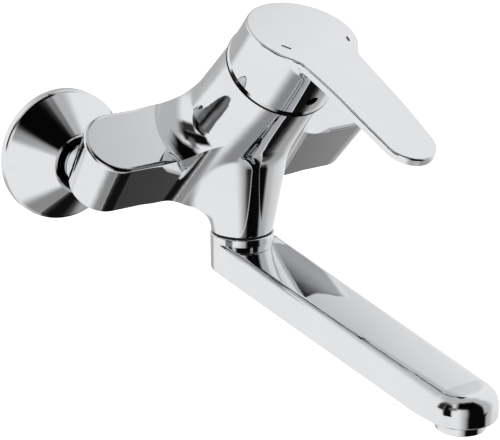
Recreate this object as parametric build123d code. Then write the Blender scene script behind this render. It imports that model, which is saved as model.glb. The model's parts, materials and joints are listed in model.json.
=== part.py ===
# Wall-mounted single-lever mixer tap for a basin or sink, with a swivelling spout.
#
# Frame: X runs along the wall, +Y points into the wall, Z is up. The wall face is y = 0.
# The origin lies on the wall midway between the two threaded wall connections.
# The tap's inlets sit RISE above the wall connections, because the S-unions are eccentric.
# All lengths are millimetres and all angles degrees.
from build123d import *
import os
from math import cos, pi, radians, sin

os.makedirs("parts", exist_ok=True)

# Driving dimensions, measured from the height of the inlets
RISE = 5.0                     # eccentricity of the S-unions
INLET_X = 75.0                 # half the 150 mm pitch of the wall connections
BARREL_TILT = 41.5             # forward lean of the barrel from the vertical
RING_Y, RING_Z = -113.0, 62.1  # centre of the handle skirt's lower ring
SPIGOT_Y = -75.7               # axis of the swivelling spout
SPIGOT_END = -39.5             # lower face of the spigot
OUTLET_Y = -268.5              # axis of the aerator
SPOUT_HALF = 18.4              # half the width of the spout
SPOUT_FOOT = -80.2             # level underside of the spout's nose
HEAD_TILT = 22.0               # lean of the handle's head plane from the horizontal
HEAD_Y, HEAD_Z = -132.1, 86.3  # middle of the handle's head
LEVER_TIP = 112.4              # from the middle of the head to the tip of the lever
PIVOT = -16.0                  # lever pivot, measured along the barrel from the ring
STEM_LEAN = 10.0               # lean of the closed stem from the barrel's axis
PAST = 1.0                     # how far a cutting tool runs past a face
HALF_TURN_COS = 0.70711        # cosine of 45 degrees, for the middle of a quarter arc

# Local frames: the barrel's axis, the lever's stem, the handle's head, spigot and outlet
barrel_frame = Plane(
    origin=(0, RING_Y, RING_Z),
    x_dir=(1, 0, 0),
    z_dir=(0, -sin(radians(BARREL_TILT)), cos(radians(BARREL_TILT))),
).location
stem_frame = barrel_frame * Pos(0, 0, PIVOT) * Rot(STEM_LEAN, 0, 0)
head_frame = Plane(
    origin=(0, HEAD_Y, HEAD_Z),
    x_dir=(1, 0, 0),
    z_dir=(0, -sin(radians(HEAD_TILT)), cos(radians(HEAD_TILT))),
).location
spigot_frame = Pos(0, SPIGOT_Y, 0)
outlet_frame = Pos(0, OUTLET_Y, 0)


def save(name, *solids):
    """Write the solids of one node, lifted to the height of the wall connections."""
    lifted = [Pos(0, 0, RISE) * solid for solid in solids]
    shape = lifted[0] if len(lifted) == 1 else Compound(children=lifted)
    export_step(shape, "parts/" + name + ".step")


def rod(radius, low, high):
    """Cylinder on the Z axis between two heights."""
    return Pos(0, 0, (low + high) / 2) * Cylinder(radius, high - low)


def taper(low_radius, high_radius, low, high):
    """Cone on the Z axis between two heights."""
    return Pos(0, 0, (low + high) / 2) * Cone(low_radius, high_radius, high - low)


def tube(outer, inner, low, high):
    """Hollow cylinder on the Z axis between two heights."""
    return rod(outer, low, high) - rod(inner, low - PAST, high + PAST)


def turned(*points):
    """Body of revolution about the Z axis from (radius, height) points."""
    profile = make_face(Polyline(*points, points[0]))
    return revolve(Plane.XZ * profile, Axis.Z, 360)


def toward_wall(x, z=0.0):
    """Frame on an inlet axis whose Z runs into the wall."""
    return Pos(x, 0, z) * Rot(-90, 0, 0)


def block(x_low, x_high, y_low, y_high, z_low, z_high):
    """Box between two corners."""
    centre = Pos((x_low + x_high) / 2, (y_low + y_high) / 2, (z_low + z_high) / 2)
    return centre * Box(x_high - x_low, y_high - y_low, z_high - z_low)


def square_bar(half, low, high):
    """Square bar on the Z axis between two heights."""
    return block(-half, half, -half, half, low, high)


def cross_pin(radius, length):
    """Cylinder along X through the middle of a frame."""
    return Rot(0, 90, 0) * Cylinder(radius, length)


def side_profile(*points):
    """Face in the YZ plane from (y, z) points."""
    return Plane.YZ * make_face(Polyline(*points, points[0]))


def in_frame(frame, spot):
    """A point in the coordinates of a local frame."""
    return (frame.inverse() * Pos(spot.X, spot.Y, spot.Z)).position


def lies_on_cone(edge, frame, low_radius, high_radius, low, high):
    """True when an edge runs along the given cone."""
    for place in (0.1, 0.35, 0.6, 0.9):
        local = in_frame(frame, edge @ place)
        share = (local.Z - low) / (high - low)
        wanted = low_radius + share * (high_radius - low_radius)
        if abs((local.X**2 + local.Y**2) ** 0.5 - wanted) > 0.05:
            return False
    return True


def at_height(edge, height):
    """True when an edge lies in the plane across the barrel at this height."""
    return abs(in_frame(barrel_frame, edge.center()).Z - height) < 0.3


def is_circle(edge, radius):
    """True when an edge is as long as a full circle of this radius."""
    return abs(edge.length - 2 * pi * radius) < 1


# Body casting: two arms, the leaning barrel and the spigot, blended into one shape.
# Heights here are measured along the barrel, and shifts from its axis toward the wall.
ARM_TOP, ARM_FOOT, BARREL_TOP = -56.7, -99.6, -1.1
ARM_TOP_SPAN, ARM_TOP_DEPTH, ARM_TOP_BACK = 153.0, 38.0, 6.6
ARM_FOOT_SPAN, ARM_FOOT_DEPTH, ARM_FOOT_BACK = 147.6, 36.0, 5.7
BARREL_MOUTH_R, BARREL_MOUTH_BACK = 29.0, 0.9
BARREL_FOOT_X, BARREL_FOOT_Y, BARREL_FOOT_BACK = 42.0, 31.0, 5.0
SPIGOT_R_END, SPIGOT_R_ROOT, SPIGOT_ROOT = 17.7, 27.5, 12.0
ARM_BLEND, SPIGOT_BLEND = 17.0, 20.0
TOP_RIM, FOOT_RIM = 2.2, 1.5
RIM_START, RIM_FULL = 47.0, 56.0       # the rim rounding grows between these two x
RIM_LEAST = 0.05

arm_top = Pos(0, ARM_TOP_BACK, ARM_TOP) * SlotCenterToCenter(ARM_TOP_SPAN, ARM_TOP_DEPTH)
arm_foot = Pos(0, ARM_FOOT_BACK, ARM_FOOT) * SlotCenterToCenter(ARM_FOOT_SPAN, ARM_FOOT_DEPTH)
arms = barrel_frame * loft([arm_foot, arm_top])
rounded_arms = arms.fillet(TOP_RIM, [e for e in arms.edges() if at_height(e, ARM_TOP)])
foot_edges = [e for e in rounded_arms.edges() if at_height(e, ARM_FOOT)]
rounded_arms = rounded_arms.fillet(FOOT_RIM, foot_edges)

barrel_mouth = Pos(0, BARREL_MOUTH_BACK, BARREL_TOP) * Circle(BARREL_MOUTH_R)
barrel_foot = Pos(0, BARREL_FOOT_BACK, ARM_FOOT) * Ellipse(BARREL_FOOT_X, BARREL_FOOT_Y)
blended = arms + barrel_frame * loft([barrel_foot, barrel_mouth], ruled=True)


def on_barrel(edge):
    """True when an edge runs along the side of the barrel."""
    for place in (0.1, 0.35, 0.6, 0.9):
        local = in_frame(barrel_frame, edge @ place)
        share = (BARREL_TOP - local.Z) / (BARREL_TOP - ARM_FOOT)
        half_x = BARREL_MOUTH_R + share * (BARREL_FOOT_X - BARREL_MOUTH_R)
        half_y = BARREL_MOUTH_R + share * (BARREL_FOOT_Y - BARREL_MOUTH_R)
        back = BARREL_MOUTH_BACK + share * (BARREL_FOOT_BACK - BARREL_MOUTH_BACK)
        if abs(((local.X / half_x) ** 2 + ((local.Y - back) / half_y) ** 2) ** 0.5 - 1) > 0.004:
            return False
    return True


def is_arm_corner(edge):
    """True for a concave edge between an arm and the barrel."""
    middle = edge @ 0.5
    height = in_frame(barrel_frame, middle).Z
    return on_barrel(edge) and ARM_FOOT + 1 < height < ARM_TOP + 1 and abs(middle.X) > 5


blended = blended.fillet(ARM_BLEND, [e for e in blended.edges() if is_arm_corner(e)])
spigot_cone = (SPIGOT_R_END, SPIGOT_R_ROOT, SPIGOT_END, SPIGOT_ROOT)
blended = blended + spigot_frame * taper(*spigot_cone)
root_edges = [
    e for e in blended.edges()
    if lies_on_cone(e, spigot_frame, *spigot_cone) and e.center().Z > SPIGOT_END + 0.5
]
blended = blended.fillet(SPIGOT_BLEND, root_edges)


def rim_tool(y, s, back, up, radius):
    """Corner sliver that rounds a straight rim, growing from nothing to its full radius."""
    slices = []
    for x, size in ((RIM_START, RIM_LEAST), (RIM_FULL, radius)):
        centre = (y - back * size, s - up * size)
        reach = size * HALF_TURN_COS
        middle = (centre[0] + back * reach, centre[1] + up * reach)
        arc = ThreePointArc((y, s - up * size), middle, (y - back * size, s))
        rest = Polyline(
            (y - back * size, s),
            (y - back * size, s + up),
            (y + back, s + up),
            (y + back, s - up * size),
            (y, s - up * size),
        )
        face = make_face(Curve() + [arc, rest])
        slices.append(Plane(origin=(x, 0, 0), x_dir=(0, 1, 0), z_dir=(1, 0, 0)).location * face)
    return barrel_frame * loft(slices, ruled=True)


middle_part = block(-RIM_FULL, RIM_FULL, -200, 50, -100, 150)
middle = blended & middle_part
for y, s, back, up, radius in (
    (ARM_TOP_BACK - ARM_TOP_DEPTH / 2, ARM_TOP, -1, 1, TOP_RIM),
    (ARM_TOP_BACK + ARM_TOP_DEPTH / 2, ARM_TOP, 1, 1, TOP_RIM),
    (ARM_FOOT_BACK - ARM_FOOT_DEPTH / 2, ARM_FOOT, -1, -1, FOOT_RIM),
    (ARM_FOOT_BACK + ARM_FOOT_DEPTH / 2, ARM_FOOT, 1, -1, FOOT_RIM),
):
    tool = rim_tool(y, s, back, up, radius)
    middle = middle - tool - mirror(tool, Plane.YZ)
casting = middle + (rounded_arms - middle_part)

# Bosses that carry the inlet nipples, behind the arms
BOSS_R, BOSS_ROOT, BOSS_END = 13.5, -54.0, -24.5
NIPPLE_R, NIPPLE_END, NIPPLE_BORE_END = 11.0, -36.0, -38.0
NIPPLE_FLANGE_R, NIPPLE_FLANGE_LOW, NIPPLE_FACE = 12.9, -20.3, -17.5
THREAD_GAP = 0.1
for x in (-INLET_X, INLET_X):
    casting = casting + toward_wall(x) * rod(BOSS_R, BOSS_ROOT, BOSS_END)

# Chamber for the cartridge, with a wider mouth for the retaining nut
CHAMBER_R, CHAMBER_FLOOR = 20.3, -46.0
MOUTH_R, MOUTH_FLOOR = 23.0, -9.3
CUT_TOP = 10.0
casting = casting - barrel_frame * rod(CHAMBER_R, CHAMBER_FLOOR, CUT_TOP)
casting = casting - barrel_frame * rod(MOUTH_R, MOUTH_FLOOR, CUT_TOP)

# Waterways: inlet bores, cross passages, ports up to the chamber and the outlet down
WAY_R, WAY_END = 7.0, -60.0
PASSAGE_X, PASSAGE_Y, PASSAGE_Z = 44.0, -57.0, 7.4
PASSAGE_R, PASSAGE_LENGTH = 13.0, 76.0
PORT_X, PORT_Y, PORT_R, PORT_FOOT = 9.5, 6.5, 3.2, -84.0
OUT_Y, OUT_R, OUT_FOOT = -6.0, 4.5, -60.0
DROP_Y, DROP_R, DROP_TOP = -77.0, 5.0, 16.0
SPIGOT_BORE, SPIGOT_BORE_TOP = 12.2, -14.0
for side in (-1, 1):
    inlet = toward_wall(side * INLET_X)
    casting = casting - inlet * rod(NIPPLE_R + THREAD_GAP, NIPPLE_BORE_END, 0.0)
    casting = casting - inlet * rod(WAY_R, WAY_END, 0.0)
    passage = Pos(side * PASSAGE_X, PASSAGE_Y, PASSAGE_Z) * cross_pin(PASSAGE_R, PASSAGE_LENGTH)
    casting = casting - passage
    port = Pos(side * PORT_X, PORT_Y, 0) * rod(PORT_R, PORT_FOOT, CHAMBER_FLOOR + PAST)
    casting = casting - barrel_frame * port
casting = casting - barrel_frame * Pos(0, OUT_Y, 0) * rod(OUT_R, OUT_FOOT, CHAMBER_FLOOR + PAST)
casting = casting - Pos(0, DROP_Y, 0) * rod(DROP_R, SPIGOT_BORE_TOP - PAST, DROP_TOP)
casting = casting - spigot_frame * rod(SPIGOT_BORE, SPIGOT_END - PAST, SPIGOT_BORE_TOP)

# Threaded hole for the spout's retaining screw, from the back of the spigot
SCREW_Z = -29.0
SCREW_R, SCREW_LOW, SCREW_HIGH = 2.0, 13.0, 18.6
SCREW_POINT_R, SCREW_POINT = 1.5, 10.7
SCREW_HOLE_R, SCREW_HOLE_LOW, SCREW_HOLE_HIGH = 2.05, 8.0, 35.7
screw_line = Pos(0, SPIGOT_Y, SCREW_Z) * Rot(-90, 0, 0)
casting = casting - screw_line * rod(SCREW_HOLE_R, SCREW_HOLE_LOW, SCREW_HOLE_HIGH)

# Small roundings at the barrel's mouth and the spigot's lower rim
MOUTH_ROUND, SPIGOT_ROUND = 0.5, 0.8
mouth_edge = [
    e for e in casting.edges() if at_height(e, BARREL_TOP) and is_circle(e, BARREL_MOUTH_R)
]
casting = casting.fillet(MOUTH_ROUND, mouth_edge)
rim_edge = [
    e for e in casting.edges()
    if abs(e.center().Z - SPIGOT_END) < 0.1 and is_circle(e, SPIGOT_R_END)
]
casting = casting.fillet(SPIGOT_ROUND, rim_edge)
save("body_casting", casting)

# Wall connections, one set on the hot side (left) and one on the cold side (right).
# Heights are measured from the wall face into the wall, so what stands in the room is below zero.
STUD_R, STUD_ROOT, STUD_END, STUD_BORE = 10.48, -3.0, 18.0, 7.5
FLANGE_R, FLANGE_LOW, FLANGE_HIGH, FLANGE_Z = 16.5, -6.0, -1.0, -1.0
COLLAR_R, COLLAR_END, COLLAR_BORE = 13.2, -15.3, 8.5
WASHER_R, WASHER_HOLE_R, WASHER_LOW, WASHER_HIGH = 12.7, 7.2, -17.4, -15.5
SIEVE_LENGTH, SIEVE_BAR, SIEVE_HEIGHT = 15.0, 0.8, -16.0
NUT_CORNER_R, NUT_FRONT, NUT_BACK, NUT_SEAT = 17.3, -23.0, -7.0, -20.5
NUT_FACE_R, NUT_BARREL_R, NUT_BEVEL = 15.6, 17.6, 1.2
NUT_HOLE_GAP = 0.2
ROSETTE_PROFILE = (
    (38.0, 0.0), (38.0, -4.6), (37.6, -5.6), (36.6, -6.4),
    (17.4, -25.7), (16.9, -26.0), (15.9, -26.0), (15.9, -24.9),
    (35.7, -5.5), (36.8, -4.3), (36.8, 0.0),
)
GRIP_PROFILE = ((0, -5.0), (35.8, -5.0), (36.7, -4.0), (36.7, -2.6), (0, -2.6))
GRIP_HOLE_R = 16.6
for side_name, x in (("hot", -INLET_X), ("cold", INLET_X)):
    here = toward_wall(x)
    stud = toward_wall(x, -RISE)
    flange = toward_wall(x, FLANGE_Z)

    union = stud * rod(STUD_R, STUD_ROOT, STUD_END)
    union = union + flange * rod(FLANGE_R, FLANGE_LOW, FLANGE_HIGH)
    union = union + here * rod(COLLAR_R, COLLAR_END, STUD_ROOT)
    union = union - stud * rod(STUD_BORE, STUD_ROOT - PAST, STUD_END + PAST)
    union = union - here * rod(COLLAR_BORE, COLLAR_END - PAST, STUD_ROOT + 0.5)
    save(side_name + "_s_union", union)

    washer = here * tube(WASHER_R, WASHER_HOLE_R, WASHER_LOW, WASHER_HIGH)
    sieve = Box(SIEVE_LENGTH, SIEVE_BAR, SIEVE_BAR) + Box(SIEVE_BAR, SIEVE_LENGTH, SIEVE_BAR)
    save(side_name + "_filter_washer", washer + here * Pos(0, 0, SIEVE_HEIGHT) * sieve)

    hexagon = Pos(0, 0, NUT_FRONT) * RegularPolygon(NUT_CORNER_R, 6)
    bevelled = turned(
        (0, NUT_FRONT), (NUT_FACE_R, NUT_FRONT), (NUT_BARREL_R, NUT_FRONT + NUT_BEVEL),
        (NUT_BARREL_R, NUT_BACK - NUT_BEVEL), (NUT_FACE_R, NUT_BACK), (0, NUT_BACK),
    )
    nut = extrude(hexagon, NUT_BACK - NUT_FRONT) & bevelled
    nut = nut - rod(COLLAR_R + THREAD_GAP, NUT_SEAT, NUT_BACK + PAST)
    nut = nut - rod(NIPPLE_R + NUT_HOLE_GAP, NUT_FRONT - PAST, NUT_SEAT + 0.5)
    save(side_name + "_union_nut", here * nut)

    nipple = rod(NIPPLE_R, NIPPLE_END, NIPPLE_FACE)
    nipple = nipple + rod(NIPPLE_FLANGE_R, NIPPLE_FLANGE_LOW, NIPPLE_FACE)
    nipple = nipple - rod(WAY_R, NIPPLE_END - PAST, NIPPLE_FACE + PAST)
    save(side_name + "_inlet_nipple", here * nipple)

    save(side_name + "_rosette", here * turned(*ROSETTE_PROFILE))

    grip = here * turned(*GRIP_PROFILE) - flange * rod(GRIP_HOLE_R, FLANGE_LOW - PAST, 0.0)
    save(side_name + "_rosette_grip_ring", grip)

# Cartridge, stacked along the barrel
BASE_R, BASE_FOOT, BASE_TOP = 19.8, -45.8, -39.1
FIXED_DISC_R, FIXED_DISC_LOW, FIXED_DISC_TOP = 16.5, -39.0, -35.3
SEAL_FOOT, SEAL_TOP, GROOVE_TOP = -45.95, -44.8, -44.7
SEAL_IN, SEAL_OUT, GROOVE_GAP = 0.5, 1.6, 0.1
seats = ((-PORT_X, PORT_Y), (PORT_X, PORT_Y), (0.0, OUT_Y))
base = rod(BASE_R, BASE_FOOT, BASE_TOP)
fixed_disc = rod(FIXED_DISC_R, FIXED_DISC_LOW, FIXED_DISC_TOP)
seals = []
for x, y in seats:
    hole = PORT_R if x else OUT_R
    seat = Pos(x, y, 0)
    groove = tube(
        hole + SEAL_OUT + GROOVE_GAP, hole + SEAL_IN - GROOVE_GAP, BASE_FOOT - PAST, GROOVE_TOP
    )
    base = base - seat * rod(hole, BASE_FOOT - PAST, BASE_TOP + PAST) - seat * groove
    fixed_disc = fixed_disc - seat * rod(hole, FIXED_DISC_LOW - PAST, FIXED_DISC_TOP + PAST)
    seals.append(barrel_frame * seat * tube(hole + SEAL_OUT, hole + SEAL_IN, SEAL_FOOT, SEAL_TOP))
save("cartridge_base", barrel_frame * base)
save("cartridge_base_seals", *seals)
save("fixed_ceramic_disc", barrel_frame * fixed_disc)

HOUSING_R, HOUSING_FOOT, HOUSING_TOP = 19.9, -38.9, -6.0
DISC_ROOM_R, DISC_ROOM_TOP = 16.9, -25.2
SLEEVE_ROOM_R, SLEEVE_ROOM_TOP = 16.0, -8.0
HOUSING_HOLE_R = 13.0
housing = rod(HOUSING_R, HOUSING_FOOT, HOUSING_TOP)
housing = housing - rod(DISC_ROOM_R, HOUSING_FOOT - PAST, DISC_ROOM_TOP)
housing = housing - rod(SLEEVE_ROOM_R, DISC_ROOM_TOP - PAST, SLEEVE_ROOM_TOP)
housing = housing - rod(HOUSING_HOLE_R, SLEEVE_ROOM_TOP - PAST, HOUSING_TOP + PAST)
save("cartridge_housing", barrel_frame * housing)

# Moving disc with its carrier; closed, they stand off centre toward the wall
BALL_DROP, BALL_R = 11.0, 3.5
MOVING_DISC_R, MOVING_DISC_LOW, MOVING_DISC_TOP = 14.5, -35.0, -31.3
POCKET_R, POCKET_Y, POCKET_TOP = 7.5, -1.5, -33.2
CARRIER_R, CARRIER_LOW, CARRIER_TOP = 14.3, -31.2, -25.2
CARRIER_WAIST_R, WAIST_LOW, WAIST_TOP = 12.5, -29.5, -27.0
BALL_SOCKET_R = 3.8
offset = BALL_DROP * sin(radians(STEM_LEAN))
closed_frame = barrel_frame * Pos(0, offset, 0)
moving_disc = rod(MOVING_DISC_R, MOVING_DISC_LOW, MOVING_DISC_TOP)
moving_disc = moving_disc - Pos(0, POCKET_Y, 0) * rod(POCKET_R, MOVING_DISC_LOW - PAST, POCKET_TOP)
save("moving_ceramic_disc", closed_frame * moving_disc)
carrier = rod(CARRIER_R, CARRIER_LOW, CARRIER_TOP)
carrier = carrier - rod(BALL_SOCKET_R, CARRIER_LOW - PAST, CARRIER_TOP + PAST)
carrier = carrier - tube(CARRIER_R + PAST, CARRIER_WAIST_R, WAIST_LOW, WAIST_TOP)
save("disc_carrier", closed_frame * carrier)

# Turning sleeve with a slot for the stem and a bore for the pivot pin
SLEEVE_R, SLEEVE_FOOT, SLEEVE_TOP = 15.9, -24.9, -8.3
SLOT_HALF_X, SLOT_HALF_Y = 5.9, 9.5
PIN_R, PIN_LENGTH, PIN_BORE_R, STEM_BORE_R = 1.98, 27.0, 2.0, 2.05
slot = block(
    -SLOT_HALF_X, SLOT_HALF_X, -SLOT_HALF_Y, SLOT_HALF_Y, SLEEVE_FOOT - PAST, SLEEVE_TOP + PAST
)
pivot_frame = Pos(0, 0, PIVOT)
sleeve = rod(SLEEVE_R, SLEEVE_FOOT, SLEEVE_TOP) - slot
sleeve = sleeve - pivot_frame * cross_pin(PIN_BORE_R, 2 * SLEEVE_R + PAST)
save("turning_sleeve", barrel_frame * sleeve)
save("pivot_pin", barrel_frame * pivot_frame * cross_pin(PIN_R, PIN_LENGTH))

# Lever stem: square above the pivot, a neck and a ball below
SQUARE_HALF, STEM_TOP, NECK_R = 4.0, 36.5, 2.4
EYE_HALF_X, EYE_HALF_Y, EYE_LOW, EYE_TOP = 5.5, 4.5, -4.0, 5.0
stem = square_bar(SQUARE_HALF, 0.0, STEM_TOP)
stem = stem + block(-EYE_HALF_X, EYE_HALF_X, -EYE_HALF_Y, EYE_HALF_Y, EYE_LOW, EYE_TOP)
stem = stem + rod(NECK_R, -BALL_DROP, EYE_LOW + PAST) + Pos(0, 0, -BALL_DROP) * Sphere(BALL_R)
stem = stem - cross_pin(STEM_BORE_R, 2 * EYE_HALF_X + PAST)
save("lever_stem", stem_frame * stem)

# Retaining nut over the cartridge
RETAINER_R, RETAINER_HOLE_R, RETAINER_TOP, RETAINER_SEAT = 22.9, 13.0, -1.2, -5.8
RETAINER_SKIRT_R, RETAINER_FOOT = 20.2, -9.1
KEY_SLOTS, KEY_HALF, KEY_IN, KEY_OUT, KEY_FLOOR = 6, 1.5, 14.5, 18.5, -3.5
retainer = tube(RETAINER_R, RETAINER_HOLE_R, RETAINER_SEAT, RETAINER_TOP)
retainer = retainer + tube(RETAINER_R, RETAINER_SKIRT_R, RETAINER_FOOT, RETAINER_SEAT + 0.8)
key_slot = block(-KEY_HALF, KEY_HALF, KEY_IN, KEY_OUT, KEY_FLOOR, 0.0)
for index in range(KEY_SLOTS):
    retainer = retainer - Rot(0, 0, index * 360 / KEY_SLOTS) * key_slot
save("retaining_nut", barrel_frame * retainer)

# Dome ring that closes the barrel's mouth, with a rim under the handle's skirt
DOME_R, DOME_WALL, DOME_HOLE_R, DOME_TOP = 34.5, 1.5, 21.0, 12.0     # sphere round the pivot
DOME_RIM_R, DOME_RIM_HOLE_R, DOME_RIM_LOW, DOME_RIM_TOP = 30.6, 25.5, -1.0, 0.4
dome_ball = pivot_frame * Sphere(DOME_R)
dome = dome_ball - pivot_frame * Sphere(DOME_R - DOME_WALL)
dome = dome & tube(DOME_RIM_R, DOME_HOLE_R, DOME_RIM_LOW, DOME_TOP)
dome = dome + (tube(DOME_RIM_R, DOME_RIM_HOLE_R, DOME_RIM_LOW, DOME_RIM_TOP) & dome_ball)
save("dome_ring", barrel_frame * dome)

# Handle: skirt, head and lever in one casting under a gently arched top
ARCH_CREST, ARCH_HEIGHT, ARCH_R = 40.0, 1.25, 1000.0
LEVER_THICK, CEILING, SOCKET_COVER = 4.0, 3.6, 0.5
SKIRT_R_LOW, SKIRT_R_HIGH, SKIRT_RUN, SKIRT_WALL = 29.85, 29.0, 60.0, 1.3
SKIRT_CUT_R = 34.8             # the skirt's foot follows a sphere just outside the dome
NECK_BLEND, NECK_FRONT, CROWN_ROUND = 12.0, -153.0, 1.0


def arch_height(along, drop):
    """Height of the arched surface over the head plane, at a distance along the lever."""
    return ARCH_HEIGHT - (along - ARCH_CREST) ** 2 / (2 * ARCH_R) - drop


def under_arch(drop):
    """All the space below the arched surface moved down by drop."""
    marks = [(-along, arch_height(along, drop)) for along in (-60.0, ARCH_CREST, 140.0)]
    arc = ThreePointArc(*marks)
    rest = Polyline(marks[2], (marks[2][0], -120.0), (marks[0][0], -120.0), marks[0])
    face = make_face(Curve() + [arc, rest])
    frame = Plane(origin=(-60, 0, 0), x_dir=(0, 1, 0), z_dir=(1, 0, 0))
    return head_frame * extrude(frame * face, 120)


def on_arch(edge):
    """True for an edge that runs along the arched top."""
    for place in (0.1, 0.5, 0.9):
        local = in_frame(head_frame, edge @ place)
        if abs(local.Z - arch_height(-local.Y, 0.0)) > 0.05:
            return False
    return True


# Half of the lever's outline: half-width and distance from the middle of the head
LEVER_EDGE = ((19.4, -12.0), (18.6, -28.0), (17.1, -50.0), (16.1, -72.0), (14.8, -90.0), (14.2, -98.2))
right_side = Spline(*LEVER_EDGE)
left_side = mirror(right_side, Plane.YZ)
root_x, root_y = LEVER_EDGE[0]
tip_x, tip_y = LEVER_EDGE[-1]
tip = ThreePointArc((tip_x, tip_y), (0.0, -LEVER_TIP), (-tip_x, tip_y))
root = Line((root_x, root_y), (-root_x, root_y))
outline = make_face(Curve() + [right_side, tip, left_side, root])
crown = under_arch(0.0)
lever = head_frame * Pos(0, 0, -30) * extrude(outline, 60)
lever = (lever & crown) - under_arch(LEVER_THICK)
skirt_cone = (SKIRT_R_LOW, SKIRT_R_HIGH, 0.0, SKIRT_RUN)
handle = (barrel_frame * taper(*skirt_cone) & crown) + lever
neck_edges = [
    e for e in handle.edges()
    if lies_on_cone(e, barrel_frame, *skirt_cone) and e.center().Y < NECK_FRONT and not on_arch(e)
]
handle = handle.fillet(NECK_BLEND, neck_edges)
handle = handle.fillet(CROWN_ROUND, [e for e in handle.edges() if on_arch(e)])
hollow = barrel_frame * taper(SKIRT_R_LOW - SKIRT_WALL, SKIRT_R_HIGH - SKIRT_WALL, -0.5, SKIRT_RUN)
handle = handle - (hollow & under_arch(CEILING))
handle = handle - barrel_frame * pivot_frame * Sphere(SKIRT_CUT_R)

# Inside the handle: the stem's socket with a boss for the grub screw, reached through the skirt
SOCKET_R, SOCKET_FOOT, SOCKET_TOP = 8.0, 22.0, 60.0
BOSS_TUNNEL_R, TUNNEL_END = 4.6, 14.0
SCREW_RISE = 31.8
STEM_HOLE_HALF, STEM_HOLE_FOOT, STEM_HOLE_TOP = 4.1, 15.0, 37.0
GRUB_R, GRUB_POINT, GRUB_HEAD, GRUB_HOLE_R = 2.5, 4.05, 13.4, 2.55
KEY_WAY_R, KEY_WAY_END = 3.3, 40.0
HEX_SIZE, HEX_FLOOR, HEX_DEPTH = 1.45, 10.4, 4.0
solid_skirt = barrel_frame * taper(*skirt_cone) & under_arch(SOCKET_COVER)
tunnel_line = stem_frame * Pos(0, 0, SCREW_RISE) * Rot(90, 0, 0)
socket = stem_frame * rod(SOCKET_R, SOCKET_FOOT, SOCKET_TOP)
socket = socket + tunnel_line * rod(BOSS_TUNNEL_R, 0.0, TUNNEL_END)
handle = handle + (socket & solid_skirt)
handle = handle - stem_frame * square_bar(STEM_HOLE_HALF, STEM_HOLE_FOOT, STEM_HOLE_TOP)
handle = handle - tunnel_line * rod(GRUB_HOLE_R, PAST, KEY_WAY_END)
handle = handle - tunnel_line * rod(KEY_WAY_R, TUNNEL_END, KEY_WAY_END)
save("handle", handle)
grub = rod(GRUB_R, GRUB_POINT, GRUB_HEAD)
grub = grub - extrude(Pos(0, 0, HEX_FLOOR) * RegularPolygon(HEX_SIZE, 6), HEX_DEPTH)
save("handle_grub_screw", tunnel_line * grub)

# Spout arm: a tapering bar with rounded top edges, a round hub and a round nose
TOP_HUB_Z, TOP_SLOPE = -43.6, 0.1086
TOP_HUB_ROUND, TOP_NOSE_ROUND = 2.0, 9.0
TOP_CROWN_R = 200.0            # the top is very slightly domed across its width
HUB_TOP, UNDER_HUB = -40.5, -59.3
LEVEL_START = -254.0           # where the underside runs out level, under the nose
DEEP = -95.0
FOOT_ROUND, HUB_ROUND = 0.8, 0.7


def spout_top(y):
    """Height of the spout's sloping top plane."""
    return TOP_HUB_Z + TOP_SLOPE * (y - SPIGOT_Y)


def crown_rise(rounding):
    """How far the middle of the domed top stands over its two long edges."""
    return (SPOUT_HALF - rounding) ** 2 / (2 * TOP_CROWN_R)


def spout_section(y, rounding):
    """Section of the bar at y, with a slightly domed top and rounded top corners."""
    high = spout_top(y)
    half = SPOUT_HALF
    lean = rounding * (1 - HALF_TURN_COS)
    left = ThreePointArc(
        (-half, high - rounding), (-half + lean, high - lean), (-half + rounding, high)
    )
    right = ThreePointArc(
        (half - rounding, high), (half - lean, high - lean), (half, high - rounding)
    )
    crest = (0, high + crown_rise(rounding))
    top = ThreePointArc((-half + rounding, high), crest, (half - rounding, high))
    foot = Polyline((half, high - rounding), (half, DEEP), (-half, DEEP), (-half, high - rounding))
    face = make_face(Curve() + [left, top, right, foot])
    return Plane(origin=(0, y, 0), x_dir=(1, 0, 0), z_dir=(0, -1, 0)) * face


bar_ends = [spout_section(SPIGOT_Y, TOP_HUB_ROUND), spout_section(OUTLET_Y, TOP_NOSE_ROUND)]
bar = loft(bar_ends, ruled=True)
nose_top = spout_top(OUTLET_Y)
corner = nose_top - TOP_NOSE_ROUND
inner = SPOUT_HALF - TOP_NOSE_ROUND
nose_reach = TOP_NOSE_ROUND * HALF_TURN_COS
nose_curve = ThreePointArc(
    (SPOUT_HALF, corner), (inner + nose_reach, corner + nose_reach), (inner, nose_top)
)
nose_dome = Polyline((inner, nose_top), (0, nose_top + crown_rise(TOP_NOSE_ROUND)))
nose_rest = Polyline(
    (0, nose_top + crown_rise(TOP_NOSE_ROUND)), (0, DEEP), (SPOUT_HALF, DEEP), (SPOUT_HALF, corner)
)
nose_face = Plane.XZ * make_face(Curve() + [nose_curve, nose_dome, nose_rest])
nose = outlet_frame * revolve(nose_face, Axis.Z, 360)
arm = bar + nose + spigot_frame * rod(SPOUT_HALF, DEEP, HUB_TOP)
below = side_profile(
    (-40.0, UNDER_HUB), (LEVEL_START, SPOUT_FOOT), (-300.0, SPOUT_FOOT), (-300.0, -120.0), (-40.0, -120.0)
)
arm = arm - Pos(-50, 0, 0) * extrude(below, 100)


def is_foot_edge(edge):
    """True for an edge round the spout's underside, but not the bend where it levels out."""
    centre = edge.center()
    low = centre.Z < -71.0 and edge.bounding_box().max.Z < -62.0
    if abs(centre.Z + 73.5) < 0.5:
        return False
    return edge.geom_type == GeomType.ELLIPSE or (low and edge.geom_type != GeomType.LINE)


arm = arm.fillet(FOOT_ROUND, [e for e in arm.edges() if is_foot_edge(e)])
arm = arm.fillet(HUB_ROUND, [e for e in arm.edges() if abs(e.center().Z - HUB_TOP) < 0.1])

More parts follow.
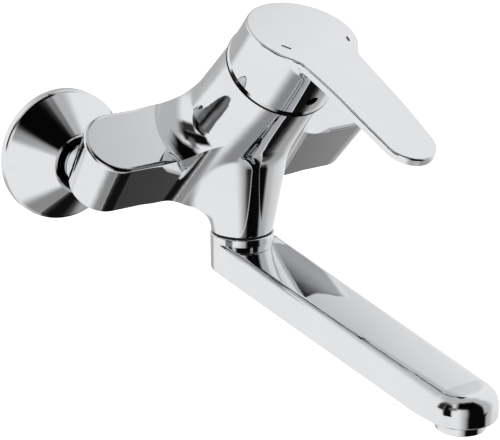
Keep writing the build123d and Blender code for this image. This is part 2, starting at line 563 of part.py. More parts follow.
# Inside the spout arm: nipple thread, sloping channel, throat and aerator thread
NIPPLE_HOLE_R, NIPPLE_HOLE_FLOOR = 10.5, -54.0
CHANNEL_START, CHANNEL_END, CHANNEL_WIDTH = -66.0, -252.0, 25.0
CHANNEL_COVER, CHANNEL_FLOOR_HUB, CHANNEL_FLOOR_NOSE = 4.5, 15.0, 13.5
NOSE_COVER = 4.0
LINK_HALF, THROAT_R, THROAT_LOW, THROAT_TOP = 9.0, 9.5, -75.0, -67.4
LINK_FOOT, LINK_START = -74.0, -250.0
AERATOR_HOLE_R, AERATOR_HOLE_TOP = 12.0, -74.5
arm = arm - spigot_frame * rod(NIPPLE_HOLE_R, NIPPLE_HOLE_FLOOR, HUB_TOP + 0.5)
channel = side_profile(
    (CHANNEL_START, spout_top(CHANNEL_START) - CHANNEL_COVER),
    (CHANNEL_END, spout_top(CHANNEL_END) - NOSE_COVER),
    (CHANNEL_END, spout_top(CHANNEL_END) - CHANNEL_FLOOR_NOSE),
    (CHANNEL_START, spout_top(CHANNEL_START) - CHANNEL_FLOOR_HUB),
)
arm = arm - Pos(-CHANNEL_WIDTH / 2, 0, 0) * extrude(channel, CHANNEL_WIDTH)
arm = arm - block(-LINK_HALF, LINK_HALF, OUTLET_Y, LINK_START, LINK_FOOT, THROAT_TOP)
arm = arm - outlet_frame * rod(THROAT_R, THROAT_LOW, THROAT_TOP)
arm = arm - outlet_frame * rod(AERATOR_HOLE_R, SPOUT_FOOT - PAST, AERATOR_HOLE_TOP)
save("spout_arm", arm)

# Nipple that joins the spout to the spigot, with its rings and washer
BEARING_R, BEARING_FOOT, BEARING_TOP = 11.9, -40.4, -16.0
THREAD_R, THREAD_FOOT, BORE_R = 10.4, -51.5, 7.5
LOCK_GROOVE_R, LOCK_GROOVE_LOW, LOCK_GROOVE_TOP = 10.1, -31.2, -26.8
RING_HEIGHTS, RING_GROOVE_R, RING_GROOVE_HALF = (-22.9, -34.1), 9.6, 1.4
RING_R, RING_SECTION_R = 10.86, 1.25
GLIDE_HEIGHTS, GLIDE_GROOVE_R, GLIDE_GROOVE_HALF = (-18.6, -38.0), 11.0, 1.1
GLIDE_R, GLIDE_HOLE_R, GLIDE_HALF = 12.15, 11.1, 1.0
FLAT_WASHER_R, FLAT_WASHER_LOW, FLAT_WASHER_TOP = 17.2, -40.4, -39.8
OUTSIDE_R = 13.0
joint = rod(BEARING_R, BEARING_FOOT, BEARING_TOP) + rod(THREAD_R, THREAD_FOOT, BEARING_FOOT)
joint = joint - rod(BORE_R, THREAD_FOOT - PAST, BEARING_TOP + PAST)
joint = joint - tube(OUTSIDE_R, LOCK_GROOVE_R, LOCK_GROOVE_LOW, LOCK_GROOVE_TOP)
rings = []
glides = []
for z in RING_HEIGHTS:
    joint = joint - tube(OUTSIDE_R, RING_GROOVE_R, z - RING_GROOVE_HALF, z + RING_GROOVE_HALF)
    rings.append(spigot_frame * Pos(0, 0, z) * Torus(RING_R, RING_SECTION_R))
for z in GLIDE_HEIGHTS:
    joint = joint - tube(OUTSIDE_R, GLIDE_GROOVE_R, z - GLIDE_GROOVE_HALF, z + GLIDE_GROOVE_HALF)
    glides.append(spigot_frame * tube(GLIDE_R, GLIDE_HOLE_R, z - GLIDE_HALF, z + GLIDE_HALF))
save("spout_nipple", spigot_frame * joint)
save("spout_o_rings", *rings)
save("spout_glide_rings", *glides)
flat_washer = tube(FLAT_WASHER_R, SPIGOT_BORE, FLAT_WASHER_LOW, FLAT_WASHER_TOP)
save("spout_washer", spigot_frame * flat_washer)
screw = rod(SCREW_R, SCREW_LOW, SCREW_HIGH) + rod(SCREW_POINT_R, SCREW_POINT, SCREW_LOW + 0.5)
screw = screw - extrude(Pos(0, 0, SCREW_HIGH - 2.0) * RegularPolygon(1.15, 6), HEX_DEPTH)
save("spout_retaining_screw", screw_line * screw)

# Aerator: threaded housing, flow insert with its openings, flat seal
AERATOR_R, AERATOR_FOOT, AERATOR_STEP = 12.9, -86.5, -80.3
CUP_R, CUP_TOP, CUP_ROUND = 11.9, -75.9, 0.6
CUP_BORE_R, CUP_LEDGE, CUP_MOUTH_R = 10.5, -86.0, 9.6
cup = rod(CUP_R, AERATOR_STEP - 0.7, CUP_TOP) + rod(AERATOR_R, AERATOR_FOOT, AERATOR_STEP)
cup = cup - rod(CUP_BORE_R, CUP_LEDGE, CUP_TOP + PAST)
cup = cup - rod(CUP_MOUTH_R, AERATOR_FOOT - 0.5, CUP_LEDGE + PAST)
cup_rim = [e for e in cup.edges() if abs(e.center().Z - AERATOR_FOOT) < 0.1 and is_circle(e, AERATOR_R)]
save("aerator_housing", outlet_frame * cup.fillet(CUP_ROUND, cup_rim))
INSERT_R, INSERT_FOOT, INSERT_TOP = 10.4, -85.9, -77.0
ROOM_R, ROOM_LOW, ROOM_TOP = 9.0, -83.5, -78.5
OPENINGS = ((1, 0.0), (6, 3.1), (12, 6.2))      # how many, and how far from the middle
JET_R, FEED_R = 1.1, 0.8
insert = rod(INSERT_R, INSERT_FOOT, INSERT_TOP) - rod(ROOM_R, ROOM_LOW, ROOM_TOP)
for count, radius in OPENINGS:
    for index in range(count):
        place = Rot(0, 0, 360.0 * index / count) * Pos(radius, 0, 0)
        insert = insert - place * rod(JET_R, INSERT_FOOT - PAST, ROOM_LOW + 0.5)
        insert = insert - place * rod(FEED_R, ROOM_TOP - 0.5, INSERT_TOP + PAST)
save("aerator_insert", outlet_frame * insert)
SEAL_R, SEAL_HOLE_R, SEAL_LOW, SEAL_HIGH = 11.8, 8.6, -75.8, -74.6
save("aerator_seal", outlet_frame * tube(SEAL_R, SEAL_HOLE_R, SEAL_LOW, SEAL_HIGH))
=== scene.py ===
# %% [markdown]
# A wall-mounted mixer tap in polished chrome.
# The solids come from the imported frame, already in place and in metres: +Y points into the
# wall, +Z is up and the origin lies on the wall between the two water connections.
# This script adds the finish of every surface, the small pieces that only matter to the eye,
# the studio and the camera. Nothing here moves or resizes a solid.

# %% Load the frame
import json
import math

import bpy
import numpy as np
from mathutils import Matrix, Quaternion, Vector


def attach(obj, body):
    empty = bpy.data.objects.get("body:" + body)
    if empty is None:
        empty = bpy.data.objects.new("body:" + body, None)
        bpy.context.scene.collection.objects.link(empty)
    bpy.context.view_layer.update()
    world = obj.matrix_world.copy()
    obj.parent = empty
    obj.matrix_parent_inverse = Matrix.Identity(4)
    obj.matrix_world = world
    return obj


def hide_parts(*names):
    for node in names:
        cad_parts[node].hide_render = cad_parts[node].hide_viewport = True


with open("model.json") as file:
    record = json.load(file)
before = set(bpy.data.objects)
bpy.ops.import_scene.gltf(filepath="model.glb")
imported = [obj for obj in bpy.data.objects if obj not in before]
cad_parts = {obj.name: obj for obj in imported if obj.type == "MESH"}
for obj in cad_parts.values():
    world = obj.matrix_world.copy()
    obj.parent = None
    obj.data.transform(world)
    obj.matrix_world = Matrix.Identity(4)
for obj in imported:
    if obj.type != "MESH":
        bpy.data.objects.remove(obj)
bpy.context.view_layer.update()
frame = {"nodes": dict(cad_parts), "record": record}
nodes = frame["nodes"]
MM = 0.001

# %% [markdown]
# Colours are written as sRGB hex, the way a paint chart gives them, and one function turns them
# to the linear values that a shader works in. A second function adds any shader node, with its
# settings and its inputs, so that every material below reads as a short list of nodes.


# %% Colour and node helpers
def linear(hex_colour):
    """Linear RGBA of an sRGB hex colour: a channel c is c / 12.92 near black, and above that
    ((c + 0.055) / 1.055) ** 2.4."""
    parts = [int(hex_colour[i : i + 2], 16) / 255 for i in (1, 3, 5)]
    return tuple(c / 12.92 if c <= 0.04045 else ((c + 0.055) / 1.055) ** 2.4 for c in parts) + (1.0,)


def add(tree, kind, settings=None, inputs=None):
    """Add one shader node, set its properties, then set or link its inputs."""
    node = tree.nodes.new(kind)
    for name, value in (settings or {}).items():
        setattr(node, name, value)
    for name, value in (inputs or {}).items():
        socket = node.inputs[name]
        if isinstance(value, bpy.types.NodeSocket):
            tree.links.new(value, socket)
        else:
            socket.default_value = value
    return node


# %% [markdown]
# Every finish on the tap is uneven at two sizes. A broad mottle comes from handling, plating or
# cooling, and a fine grain from the tool, the mould or the polishing wheel. Painting both by hand
# would need an image for each piece. A noise on the object's own coordinates, in metres, needs
# none and lines up across pieces, so one recipe takes the two sizes in millimetres, what each
# does to colour, gloss and relief, and how far the grain is drawn out along an axis.

# %% One recipe for a solid finish
MOTTLE_OCTAVES, GRAIN_OCTAVES = 3.0, 2.0
PRODUCT_LOW, PRODUCT_HIGH = 0.1, 0.4    # where the product of the two noises mostly lies


def finish(name, dark, light, gloss, mottle_mm, grain_mm, relief_mm, stretch=(1, 1, 1), metallic=0.0):
    """A Principled material and its shader. The mottle mixes two colours, mottle times grain
    mixes two roughnesses, and the grain lifts the surface."""
    material = bpy.data.materials.new(name)
    material.use_nodes = True
    tree = material.node_tree
    tree.nodes.clear()
    place = add(tree, "ShaderNodeTexCoord").outputs["Object"]
    mottle = add(tree, "ShaderNodeTexNoise", inputs={
        "Vector": place, "Scale": 1 / (mottle_mm * MM), "Detail": MOTTLE_OCTAVES,
    }).outputs["Fac"]
    drawn = add(tree, "ShaderNodeMapping", inputs={"Vector": place, "Scale": stretch}).outputs["Vector"]
    grain = add(tree, "ShaderNodeTexNoise", inputs={
        "Vector": drawn, "Scale": 1 / (grain_mm * MM), "Detail": GRAIN_OCTAVES,
    }).outputs["Fac"]
    colour = add(tree, "ShaderNodeMix", {"data_type": "RGBA"}, {
        "Factor": mottle, "A": linear(dark), "B": linear(light),
    })
    both = add(tree, "ShaderNodeMath", {"operation": "MULTIPLY"}, {0: mottle, 1: grain}).outputs[0]
    rough = add(tree, "ShaderNodeMapRange", inputs={
        "Value": both, "From Min": PRODUCT_LOW, "From Max": PRODUCT_HIGH,
        "To Min": gloss[0], "To Max": gloss[1],
    })
    relief = add(tree, "ShaderNodeBump", inputs={
        "Height": grain, "Distance": relief_mm * MM, "Strength": 1.0,
    })
    shader = add(tree, "ShaderNodeBsdfPrincipled", inputs={
        "Base Color": colour.outputs["Result"], "Roughness": rough.outputs["Result"],
        "Normal": relief.outputs["Normal"], "Metallic": metallic,
    })
    add(tree, "ShaderNodeOutputMaterial", inputs={"Surface": shader.outputs["BSDF"]})
    return material, shader


# %% [markdown]
# The shell, the handle, the spout and the rosettes are brass castings and pressings, ground,
# polished on cloth wheels and plated with nickel and then a third of a micron of chromium. The
# eye gets a nearly neutral, very slightly blue mirror. The plating follows the last long waves
# of the polishing wheel, some 20 mm apart and a few thousandths of a millimetre high, and a
# faint haze stays where the cloth ended, so the gloss isn't quite the same all over.

# %% Chrome-plated brass
CHROME = {
    "dark": "#E9EAED", "light": "#F2F3F4", "gloss": (0.015, 0.05),
    "mottle_mm": 30.0, "grain_mm": 22.0, "relief_mm": 0.004, "metallic": 1.0,
}
finishes = {}
finishes["chrome_plate"], _ = finish("chrome-plated brass", **CHROME)

# %% [markdown]
# Two kinds of piece are painted darker than their metal, and the dark is painted shade. The ring under the
# handle has a deep, unlit joint at its foot, which reads as a black line round the tap, while its domed
# top is as bright as the shell. And the union nuts sit in the shade of the rosettes. The joint could be
# left to the light, but a mirror in an open tent never goes black in so short a gap. So the ring's colour
# follows the height along the leaning barrel, with painted shade below the dome, and the nuts are painted
# dark all over for the shade they sit in.

# %% Dome ring and union nuts
BARREL_TILT = math.radians(41.5)
BARREL_AXIS = (0.0, -math.sin(BARREL_TILT), math.cos(BARREL_TILT))
RING_MIDDLE = (0.0, -113.0 * MM, 67.1 * MM)
# the ring is painted near-black up to the first of these heights, a painted shade in the joint
SHADE_TOP, SHADE_EDGE = 0.25, 0.1      # heights along the barrel, in millimetres
ring_finish, ring_shader = finish("plated dome ring with painted shade at its foot", **CHROME)
ring_tree = ring_finish.node_tree
ring_place = add(ring_tree, "ShaderNodeTexCoord").outputs["Object"]
from_ring = add(ring_tree, "ShaderNodeVectorMath", {"operation": "SUBTRACT"}, {
    0: ring_place, 1: RING_MIDDLE,
})
height = add(ring_tree, "ShaderNodeVectorMath", {"operation": "DOT_PRODUCT"}, {
    0: from_ring.outputs["Vector"], 1: BARREL_AXIS,
})
above = add(ring_tree, "ShaderNodeMapRange", inputs={
    "Value": height.outputs["Value"],
    "From Min": SHADE_TOP * MM, "From Max": (SHADE_TOP + SHADE_EDGE) * MM,
})
plated = ring_shader.inputs["Base Color"].links[0].from_socket
# painted shade: near-black below the joint, the plated colours above it
shaded = add(ring_tree, "ShaderNodeMix", {"data_type": "RGBA"}, {
    "Factor": above.outputs["Result"], "A": linear("#0A0A0B"), "B": plated,
})
ring_tree.links.new(shaded.outputs["Result"], ring_shader.inputs["Base Color"])
# painted shade: the nuts are painted dark all over for the shade of the rosettes they sit in
nut_finish, _ = finish(
    "plated union nut painted with the rosette's shade", "#1E1E20", "#2C2C2F", (0.12, 0.25),
    mottle_mm=12.0, grain_mm=5.0, relief_mm=0.006, metallic=1.0,
)

# %% [markdown]
# The wall connections, the nipples and the nut that holds the cartridge are free-cutting brass,
# turned and left bare. The tool leaves fine rings across the axis, which runs into the wall on
# most of these pieces, so the grain is squeezed along Y: close lines there, long ones round the
# piece. The eye gets a warm, half-dull yellow that streaks. The lever stem, its pivot pin and the
# screws are stainless steel, cold-headed or drawn, a duller and flatter grey than the chrome,
# with a grain squeezed along Z.

# %% Bare brass, stainless steel
BRASS_GRAIN_MM = 6.0           # length of a tool line round the piece
TOOL_LINE_MM = 0.6             # drawn coarser than the real 0.1 mm feed, so that it shows
finishes["bare_brass"], _ = finish(
    "turned free-cutting brass", "#C29A52", "#DDBB74", (0.22, 0.38),
    mottle_mm=14.0, grain_mm=BRASS_GRAIN_MM, relief_mm=0.012,
    stretch=(1, BRASS_GRAIN_MM / TOOL_LINE_MM, 1), metallic=1.0,
)
finishes["stainless_steel"], _ = finish(
    "cold-headed stainless steel", "#A9A9A8", "#C8C8C6", (0.25, 0.4),
    mottle_mm=4.0, grain_mm=0.8, relief_mm=0.004, stretch=(1, 1, 4), metallic=1.0,
)

# %% [markdown]
# Seals are moulded nitrile rubber, with a bloom that greys the black. The discs are lapped
# alumina, dense and cream white. The cartridge and the rings that grip the rosettes are
# glass-filled acetal, grey, with a spark-eroded mould's fine grain, and the aerator insert and
# the spout's glide rings are unfilled white acetal.

# %% Rubber, ceramic and plastics
RUBBER_IOR, ALUMINA_IOR = 1.52, 1.76
finishes["black_rubber"], rubber_shader = finish(
    "moulded nitrile rubber", "#121212", "#232324", (0.5, 0.7),
    mottle_mm=5.0, grain_mm=0.4, relief_mm=0.02,
)
finishes["white_ceramic"], ceramic_shader = finish(
    "lapped alumina ceramic", "#E6E3DA", "#F2F0EA", (0.12, 0.2),
    mottle_mm=3.0, grain_mm=0.3, relief_mm=0.002,
)
finishes["grey_plastic"], _ = finish(
    "glass-filled acetal", "#6E7276", "#83878B", (0.38, 0.52),
    mottle_mm=8.0, grain_mm=0.35, relief_mm=0.01,
)
finishes["white_plastic"], _ = finish(
    "moulded white acetal", "#DEDDD8", "#ECEBE7", (0.3, 0.42),
    mottle_mm=6.0, grain_mm=0.5, relief_mm=0.006,
)
rubber_shader.inputs["IOR"].default_value = RUBBER_IOR
ceramic_shader.inputs["IOR"].default_value = ALUMINA_IOR

# %% [markdown]
# The record says which slot each piece has, so one loop dresses them all. It could be a list of
# pieces for each finish, but that would repeat the record. The ring and the nuts come after it.

# %% Dress every piece
for part in frame["record"]["subparts"]:
    mesh = nodes[part["node"]].data
    mesh.materials.clear()
    mesh.materials.append(finishes[part["material_slot"]])
# the ring and the nuts get the finishes that carry painted shade
nodes["dome_ring"].data.materials[0] = ring_finish
for name in ("hot_union_nut", "cold_union_nut"):
    nodes[name].data.materials[0] = nut_finish

# %% [markdown]
# Each wall connection is one turned brass piece: a threaded stud that screws into the wall, a
# flange, and a collar set 5 mm higher for the union nut. It could stay as the plain solid, but
# from behind the stud would show no thread. A thread could also be a screw modifier on a small
# profile, which leaves a separate spiral stuck on a rod. Here the whole piece is one surface:
# circles of given radius, depth and height, one after another, with the circle's radius lowered
# along a helix where the thread runs.


# %% Circles along a path
def skin(name, centres, radii, across, up, material, closed):
    """Surface through circles: point = centre[i] + radius[i, j] * (across * cos a[j] + up * sin a[j]).
    A closed surface joins its last circle to its first."""
    rows, count = radii.shape
    angle = np.linspace(0, 2 * np.pi, count, endpoint=False)
    spoke = np.outer(np.cos(angle), across) + np.outer(np.sin(angle), up)
    points = (centres[:, None, :] + radii[:, :, None] * spoke[None, :, :]).reshape(-1, 3)
    i, j = np.meshgrid(np.arange(rows if closed else rows - 1), np.arange(count), indexing="ij")
    following, side = (i + 1) % rows, (j + 1) % count
    quads = np.stack([
        i * count + j, i * count + side, following * count + side, following * count + j,
    ], -1).reshape(-1, 4)
    a, b, c, d = (points[quads[:, k]] for k in range(4))
    volume = (np.cross(b, c) * a).sum() / 6 + (np.cross(c, d) * a).sum() / 6
    if volume < 0:
        quads = quads[:, ::-1]
    mesh = bpy.data.meshes.new(name)
    mesh.from_pydata(points.tolist(), [], quads.tolist())
    mesh.materials.append(material)
    mesh.polygons.foreach_set("use_smooth", np.ones(len(quads), bool))
    mesh.update()
    piece = bpy.data.objects.new(name, mesh)
    bpy.context.scene.collection.objects.link(piece)
    print(name, "points", len(points), "volume cm3", round(abs(volume) * 1e6, 3))
    return piece


# %% Threaded wall connections
INLET_X = 75.0                 # half the distance between the connections
THREAD_PITCH = 1.814           # the half-inch pipe thread, 14 turns to the inch
THREAD_CREST, THREAD_ROOT = 10.48, 9.32
THREAD_START, STUD_END, CHAMFER = 1.5, 18.0, 1.1
BORE, COLLAR_BORE = 7.5, 8.5
STUD_FOOT_R, COLLAR_R, FLANGE_R = 10.6, 13.2, 16.5
COLLAR_FRONT, FLANGE_FRONT, FLANGE_BACK = -15.3, -6.0, -1.0
STUD_HEIGHT, FLANGE_HEIGHT, COLLAR_HEIGHT = 0.0, 4.0, 5.0
COLLAR_EDGE, BROKEN_EDGE = 0.2, 0.3
HAIR = 0.05                    # a circle this close to a corner keeps the corner crisp
STEPS_PER_TURN, AROUND = 14, 112
depth = np.arange(FLANGE_BACK + HAIR, STUD_END, THREAD_PITCH / STEPS_PER_TURN)
stud = np.stack([np.full_like(depth, THREAD_CREST), depth, np.full_like(depth, STUD_HEIGHT)], 1)
collar_rows = [
    (COLLAR_BORE, COLLAR_FRONT, COLLAR_HEIGHT),
    (COLLAR_R - COLLAR_EDGE, COLLAR_FRONT, COLLAR_HEIGHT),
    (COLLAR_R, COLLAR_FRONT + COLLAR_EDGE, COLLAR_HEIGHT),
    (COLLAR_R, FLANGE_FRONT - HAIR, COLLAR_HEIGHT),
    (COLLAR_R, FLANGE_FRONT, COLLAR_HEIGHT),
]
flange_rows = [
    (FLANGE_R - BROKEN_EDGE, FLANGE_FRONT, FLANGE_HEIGHT),
    (FLANGE_R, FLANGE_FRONT + BROKEN_EDGE, FLANGE_HEIGHT),
    (FLANGE_R, FLANGE_BACK - BROKEN_EDGE, FLANGE_HEIGHT),
    (FLANGE_R - BROKEN_EDGE, FLANGE_BACK, FLANGE_HEIGHT),
    (STUD_FOOT_R, FLANGE_BACK, STUD_HEIGHT),
]
bore_rows = [
    (THREAD_ROOT - BROKEN_EDGE, STUD_END, STUD_HEIGHT),
    (BORE + BROKEN_EDGE, STUD_END, STUD_HEIGHT),
    (BORE, STUD_END - BROKEN_EDGE, STUD_HEIGHT),
    (BORE, FLANGE_BACK, STUD_HEIGHT),
    (COLLAR_BORE, FLANGE_FRONT, COLLAR_HEIGHT),
]
# a row is (radius, depth into the wall, height of the circle's middle)
rows = np.concatenate([collar_rows, flange_rows, stud, bore_rows])
radius, into_wall = rows[:, 0, None], rows[:, 1, None]
threaded = radius == THREAD_CREST
# the groove's depth goes 0, full, 0 once a turn, and grows from nothing over the first turn
angle = np.linspace(0, 2 * np.pi, AROUND, endpoint=False)
turns = into_wall / THREAD_PITCH - angle / (2 * np.pi)
groove = (0.5 - 0.5 * np.cos(2 * np.pi * turns)) * (THREAD_CREST - THREAD_ROOT)
run_in = np.clip((into_wall - THREAD_START) / THREAD_PITCH, 0, 1)
tip = np.clip(into_wall - (STUD_END - CHAMFER), 0, None)
radii = np.minimum(radius - groove * run_in * threaded, radius - tip * threaded)
for side_name, x in (("hot", -INLET_X), ("cold", INLET_X)):
    centres = np.stack([np.full(len(rows), x), rows[:, 1], rows[:, 2]], 1) * MM
    union = skin(side_name + "_threaded_s_union", centres, radii * MM, (1, 0, 0), (0, 0, 1),
                 finishes["bare_brass"], closed=True)
    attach(union, "tap_body")
    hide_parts(side_name + "_s_union")

# %% [markdown]
# Two short strokes on the head show which way is warm and which is cold. They are engraved and
# filled with dark enamel. A decal would need an image. Each stroke here is a thin skin of its
# own: a grid along and across the stroke, laid on the head's arched top by the same arc the
# casting follows, a hundredth of a millimetre proud, with round ends.

# %% Warm and cold strokes on the head
HEAD_TILT = math.radians(22.0)
HEAD_MIDDLE = np.array([0.0, -132.1, 91.3])
CREST_ALONG, CREST_HEIGHT, ARCH_RADIUS = 40.0, 1.25, 1000.0
STROKE_HALF, PROUD = 0.7, 0.012
STEPS_ALONG, STEPS_ACROSS = 40, 8
STROKES = {                    # (across, along the lever) of both ends, from the head's middle
    "hot_stroke": ((-19.2, 9.9), (-16.0, 14.5)),
    "cold_stroke": ((21.6, 11.5), (20.2, 15.9)),
}
across_axis = np.array([1.0, 0.0, 0.0])
along_axis = np.array([0.0, -math.cos(HEAD_TILT), -math.sin(HEAD_TILT)])
head_normal = np.array([0.0, -math.sin(HEAD_TILT), math.cos(HEAD_TILT)])
enamel, _ = finish(
    "dark enamel fill", "#0E0E10", "#1B1B1E", (0.3, 0.45), mottle_mm=2.0, grain_mm=0.5, relief_mm=0.004,
)
for name, (start, end) in STROKES.items():
    start, end = np.array(start), np.array(end)
    length = np.linalg.norm(end - start)
    line = (end - start) / length
    sideways = np.array([-line[1], line[0]])
    run = np.linspace(0.0, 1.0, STEPS_ALONG + 1)[:, None] * length
    width = np.linspace(-1.0, 1.0, STEPS_ACROSS + 1)[None, :]
    # a round end: half the width is sqrt(r^2 - (r - inset)^2), with inset the way to the tip
    inset = np.clip(np.minimum(run, length - run), 0, STROKE_HALF)
    half = np.sqrt(np.clip(STROKE_HALF ** 2 - (STROKE_HALF - inset) ** 2, 1e-6, None))
    flat = start + run[..., None] * line + (half * width)[..., None] * sideways
    # the arch: a parabola with the arc's radius at its crest
    lift = CREST_HEIGHT - (flat[..., 1] - CREST_ALONG) ** 2 / (2 * ARCH_RADIUS) + PROUD
    points = HEAD_MIDDLE + flat[..., :1] * across_axis + flat[..., 1:] * along_axis
    points = (points + lift[..., None] * head_normal).reshape(-1, 3)
    i, j = np.meshgrid(np.arange(STEPS_ALONG), np.arange(STEPS_ACROSS), indexing="ij")
    stride = STEPS_ACROSS + 1
    corner = i * stride + j
    quads = np.stack([corner, corner + stride, corner + stride + 1, corner + 1], -1).reshape(-1, 4)
    first = points[quads[0]]
    if np.cross(first[1] - first[0], first[2] - first[1]) @ head_normal < 0:
        quads = quads[:, ::-1]
    mesh = bpy.data.meshes.new(name)
    mesh.from_pydata((points * MM).tolist(), [], quads.tolist())
    mesh.materials.append(enamel)
    stroke = bpy.data.objects.new(name, mesh)
    bpy.context.scene.collection.objects.link(stroke)
    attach(stroke, "lever")
    print(name, "length mm", round(length, 2))

# %% [markdown]
# The studio is a pale tent, so that the chrome reads as bright metal. Mirror-like metal shows its
# form only by what it mirrors. Two broad glows, one on each side, give it its whites. Black flags
# opposite the wall, over the camera and low in front give it its hard dark bands, and strips on
# the left and grey cards high, low and on the floor give the softer ones.
# Real cards could be modelled as planes, but then other views would meet them. Here the world
# itself is painted by direction: azimuth and elevation are worked out from the ray, and each
# card is a soft-edged rectangle in those two angles. A later card covers an earlier one.

# %% Studio
scene = bpy.context.scene
scene.view_settings.view_transform = "Standard"
studio = bpy.data.worlds.new("studio")
scene.world = studio
studio.use_nodes = True
tree = studio.node_tree
TENT_LEVEL = 0.5
# name, azimuth and elevation of the middle, half-width, half-height, softness (degrees), level
CARDS = (
    ("glow on the left", -70.0, -15.0, 70.0, 62.0, 30.0, 0.89),
    ("glow on the right", 80.0, 19.0, 38.0, 50.0, 25.0, 0.88),
    ("shade of the wall", 7.0, -17.0, 26.0, 22.0, 14.0, 0.47),
    ("grey card high on the right", 118.0, 66.0, 26.0, 7.0, 14.0, 0.5),
    ("grey card low in front", 85.0, -47.0, 56.0, 9.0, 12.0, 0.38),
    ("grey card low behind the camera", -165.0, -33.0, 14.0, 20.0, 20.0, 0.35),
    ("grey floor on the left", -61.0, -84.0, 80.0, 14.0, 18.0, 0.28),
    ("dark floor on the right", 84.0, -70.0, 60.0, 17.0, 10.0, 0.067),
    ("black floor on the right", 68.0, -71.0, 38.0, 11.0, 10.0, 0.006),
    ("grey strip high on the left", -84.0, 42.0, 18.0, 10.0, 16.0, 0.12),
    ("black strip on the left", -97.0, 10.0, 14.0, 32.0, 10.0, 0.004),
    ("dark strip on the left", -74.0, 22.0, 12.0, 18.0, 12.0, 0.03),
    ("dark flag on the left", -112.0, 24.0, 12.0, 8.0, 12.0, 0.15),
    ("black flag opposite the wall", 176.0, 12.0, 26.0, 56.0, 14.0, 0.003),
    ("black flag over the camera", -154.0, 48.0, 33.0, 22.0, 16.0, 0.002),
    ("black flag low in front", 159.0, -29.0, 20.0, 17.0, 12.0, 0.003),
    ("black slot overhead", 39.0, 72.0, 17.0, 8.0, 6.0, 0.003),
)
direction = add(tree, "ShaderNodeTexCoord").outputs["Generated"]
split = add(tree, "ShaderNodeSeparateXYZ", inputs={"Vector": direction})
azimuth = add(tree, "ShaderNodeMath", {"operation": "ARCTAN2"}, {
    0: split.outputs["X"], 1: split.outputs["Y"],
}).outputs[0]
elevation = add(tree, "ShaderNodeMath", {"operation": "ARCSINE"}, {0: split.outputs["Z"]}).outputs[0]
level = TENT_LEVEL
for _, middle_az, middle_el, half_az, half_el, soft, card_level in CARDS:
    masks = []
    for ray, middle, half in ((azimuth, middle_az, half_az), (elevation, middle_el, half_el)):
        turn = add(tree, "ShaderNodeMath", {"operation": "SUBTRACT"}, {0: ray, 1: math.radians(middle)})
        wrapped = add(tree, "ShaderNodeMath", {"operation": "WRAP"}, {
            0: turn.outputs[0], 1: math.pi, 2: -math.pi,
        })
        away = add(tree, "ShaderNodeMath", {"operation": "ABSOLUTE"}, {0: wrapped.outputs[0]})
        edge = add(tree, "ShaderNodeMapRange", {"interpolation_type": "SMOOTHSTEP"}, {
            "Value": away.outputs[0],
            "From Min": math.radians(half + soft / 2), "From Max": math.radians(half - soft / 2),
        })
        masks.append(edge.outputs["Result"])
    mask = add(tree, "ShaderNodeMath", {"operation": "MULTIPLY"}, {0: masks[0], 1: masks[1]})
    mixed = add(tree, "ShaderNodeMix", {"data_type": "FLOAT"}, {
        "Factor": mask.outputs[0], "A": level, "B": card_level,
    })
    level = mixed.outputs["Result"]
tree.links.new(level, tree.nodes["Background"].inputs["Color"])
print("cards", len(CARDS))

# %% [markdown]
# Behind the tap the tent is lit to plain white, floor and walls in one sweep. It is a surface of
# revolution: a floor disc, a cove, a wall and a domed roof, far enough out for every view. It
# only shows behind the tap and isn't mirrored in it, because the painted tent already is.

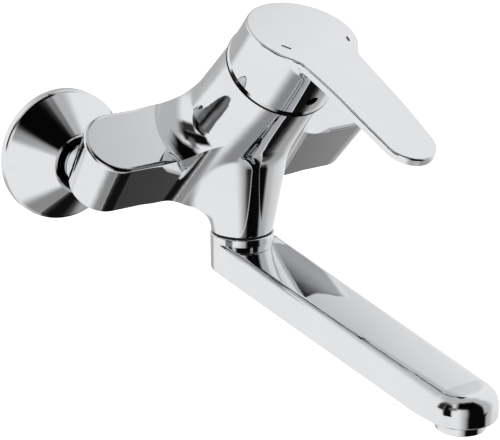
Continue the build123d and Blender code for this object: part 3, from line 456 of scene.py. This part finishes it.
# %% Floor and sweep
FLOOR_DEPTH, FLOOR_MIDDLE_R, FLOOR_RADIUS = -1.1, 1.5, 3.0    # metres
COVE, WALL_TOP, ROOF = 1.0, 1.0, 4.0
BEND_STEPS, SWEEP_AROUND = 12, 96
bend = np.linspace(0.0, np.pi / 2, BEND_STEPS + 1)
cove = np.stack([FLOOR_RADIUS + COVE * np.sin(bend), FLOOR_DEPTH + COVE * (1 - np.cos(bend))], 1)
roof = np.stack([(FLOOR_RADIUS + COVE) * np.cos(bend), WALL_TOP + ROOF * np.sin(bend)], 1)
sweep_profile = np.concatenate([[(0.0, FLOOR_DEPTH), (FLOOR_MIDDLE_R, FLOOR_DEPTH)], cove, roof])
white, white_shader = finish(
    "white painted sweep", "#F4F4F2", "#FAFAF8", (0.6, 0.8), mottle_mm=900.0, grain_mm=60.0, relief_mm=0.0,
)
white_shader.inputs["Emission Color"].default_value = linear("#FFFFFF")
white_shader.inputs["Emission Strength"].default_value = 1.0
sweep_centres = np.zeros((len(sweep_profile), 3))
sweep_centres[:, 2] = sweep_profile[:, 1]
sweep_radii = np.repeat(sweep_profile[:, :1], SWEEP_AROUND, axis=1)
sweep = skin("studio_floor", sweep_centres, sweep_radii, (1, 0, 0), (0, 1, 0), white, closed=False)
sweep.visible_glossy = False
sweep.visible_diffuse = False
sweep.visible_shadow = False

# %% [markdown]
# The camera stands 1.02 m away, to the left and above, with a long lens, where the photograph
# was taken from. Its small shift only sets the tap in the frame as it is there.

# %% Camera
AZIMUTH, ELEVATION, ROLL = -34.46, 19.36, -0.12
CAMERA_PLACE = Vector((-0.50946, -0.83836, 0.29258))
NEAREST = 0.05
IMAGE_W, IMAGE_H = 500, 440
FOCAL_PX = 1700.08
CENTRE_PX = (262.29, 220.29)
SENSOR_MM = 36.0
camera_data = bpy.data.cameras.new("camera")
camera = bpy.data.objects.new("camera", camera_data)
scene.collection.objects.link(camera)
turn, rise = math.radians(AZIMUTH), math.radians(ELEVATION)
back = Vector((math.sin(turn) * math.cos(rise), -math.cos(turn) * math.cos(rise), math.sin(rise)))
camera.location = CAMERA_PLACE
camera.rotation_mode = "QUATERNION"
camera.rotation_quaternion = (-back).to_track_quat("-Z", "Y") @ Quaternion((0, 0, 1), math.radians(ROLL))
camera_data.sensor_width = SENSOR_MM
camera_data.lens = FOCAL_PX / IMAGE_W * SENSOR_MM
camera_data.shift_x = (IMAGE_W / 2 - CENTRE_PX[0]) / IMAGE_W
camera_data.shift_y = (CENTRE_PX[1] - IMAGE_H / 2) / IMAGE_W
camera_data.clip_start = NEAREST
scene.camera = camera
